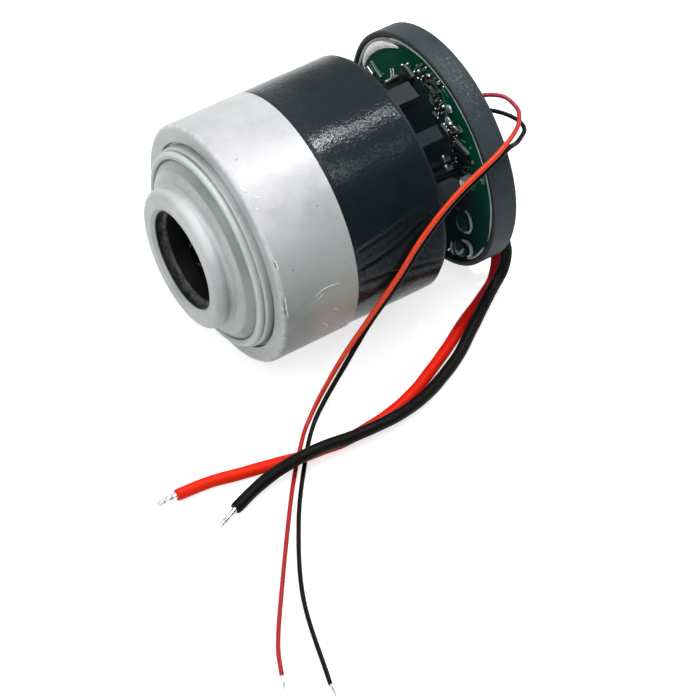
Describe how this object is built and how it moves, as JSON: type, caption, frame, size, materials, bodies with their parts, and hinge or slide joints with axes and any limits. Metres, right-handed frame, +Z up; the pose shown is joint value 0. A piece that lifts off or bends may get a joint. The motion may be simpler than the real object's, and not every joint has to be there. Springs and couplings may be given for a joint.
{
  "type": "vacuum cleaner motor",
  "caption": "Small round brushless blower motor with a grey rubber intake boot, black sleeve, rear circuit board in a rubber ring, and loose power and signal leads.",
  "frame": {"origin": "on the table, under the middle of the motor's length, below its shaft", "axes": "+X along the shaft from the intake to the circuit board, +Z up, the leads leave towards -Y"},
  "size_m": [0.1128, 0.131, 0.0586],
  "materials": {
    "boot_rubber": "matte grey",
    "shroud_metal": "dull",
    "impeller_metal": "machined",
    "steel": "ground",
    "magnet": "plated, dark",
    "balance_brass": "machined",
    "bearing_steel": "polished",
    "cage_plastic": "plain",
    "frame_plastic": "moulded black",
    "sleeve_film": "dark, slightly shiny and creased",
    "core_steel": "stacked sheets",
    "insulator_plastic": "cream",
    "enamelled_copper": "enamelled copper wire",
    "tinned_metal": "tinned",
    "board_laminate": "dark green solder mask",
    "ring_rubber": "matte dark grey",
    "glue": "white glue",
    "chip_body": "moulded black",
    "capacitor_ceramic": "ceramic",
    "sensor_body": "white",
    "solder": "solder",
    "red_cover": "slightly shiny red",
    "black_cover": "slightly shiny black"
  },
  "bodies": {
    "motor": {"intake_boot": "boot_rubber", "fan_shroud": "shroud_metal", "front_bearing_outer": "bearing_steel", "rear_bearing_outer": "bearing_steel", "preload_washer": "steel", "diffuser": "frame_plastic", "motor_frame": "frame_plastic", "body_sleeve": "sleeve_film", "stator_core": "core_steel", "front_insulator": "insulator_plastic", "rear_insulator": "insulator_plastic", "stator_windings": "enamelled_copper", "phase_pins": "tinned_metal", "bearing_bridge": "frame_plastic", "bridge_screws": "steel", "circuit_board": "board_laminate", "board_screws": "steel", "board_ring": "ring_rubber", "rim_glue": "glue", "power_switches": "chip_body", "driver_chip": "chip_body", "chip_capacitors": "capacitor_ceramic", "chip_resistors": "chip_body", "hall_sensor": "chip_body", "temperature_sensor": "sensor_body", "lead_solder_joints": "solder", "power_lead_red": "red_cover", "power_lead_black": "black_cover", "signal_lead_red": "red_cover", "signal_lead_black": "black_cover", "red_power_tip": "tinned_metal", "black_power_tip": "tinned_metal", "red_signal_tip": "tinned_metal", "black_signal_tip": "tinned_metal"},
    "rotor": {"impeller": "impeller_metal", "impeller_nut": "steel", "shaft": "steel", "rotor_spacer": "steel", "rotor_magnet": "magnet", "balance_ring_front": "balance_brass", "balance_ring_rear": "balance_brass", "front_bearing_inner": "bearing_steel", "rear_bearing_inner": "bearing_steel"},
    "front_balls": {"front_bearing_balls": "bearing_steel", "front_bearing_cage": "cage_plastic"},
    "rear_balls": {"rear_bearing_balls": "bearing_steel", "rear_bearing_cage": "cage_plastic"}
  },
  "joints": [
    {"name": "shaft_spin", "type": "hinge", "parent": "motor", "child": "rotor", "pos_m": [0, 0, 0.0293], "axis": [1, 0, 0], "continuous": true},
    {"name": "front_balls_spin", "type": "hinge", "parent": "motor", "child": "front_balls", "pos_m": [0, 0, 0.0293], "axis": [1, 0, 0], "continuous": true},
    {"name": "rear_balls_spin", "type": "hinge", "parent": "motor", "child": "rear_balls", "pos_m": [0, 0, 0.0293], "axis": [1, 0, 0], "continuous": true}
  ],
  "couplings": [
    {"joint": "front_balls_spin", "follows": "shaft_spin", "ratio": 0.3923},
    {"joint": "rear_balls_spin", "follows": "shaft_spin", "ratio": 0.3923}
  ]
}
